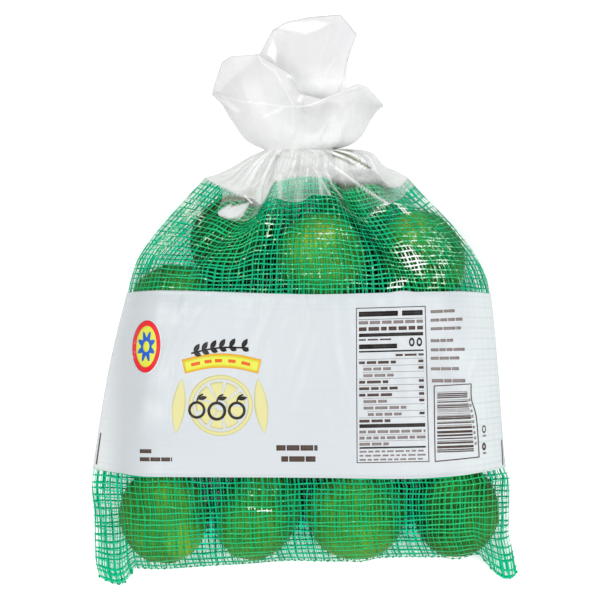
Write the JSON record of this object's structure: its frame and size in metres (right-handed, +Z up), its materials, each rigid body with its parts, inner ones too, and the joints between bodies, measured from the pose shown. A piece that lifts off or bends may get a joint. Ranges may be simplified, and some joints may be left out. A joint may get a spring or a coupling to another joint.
{
  "type": "net bag of limes",
  "caption": "Bag of green leno net filled with limes, with a white film band round its middle and a clear film neck that flares open past its pinch, lying on its back.",
  "frame": {"origin": "middle of the footprint of the bag as it lies on its back", "axes": "+Y from the bottom seam to the neck, +X to the right as the band is read, +Z up out of the printed side"},
  "size_m": [0.2288, 0.3071, 0.058],
  "materials": {
    "green_net": "woven flat tapes, slightly glossy",
    "band_film": "white printed film",
    "clear_film": "clear glossy film",
    "lime_peel": "waxed, finely pored peel",
    "ink": "printed"
  },
  "bodies": {
    "root": {"net_bag": "green_net", "label_band": "band_film", "film_top": "clear_film"}
  },
  "joints": []
}
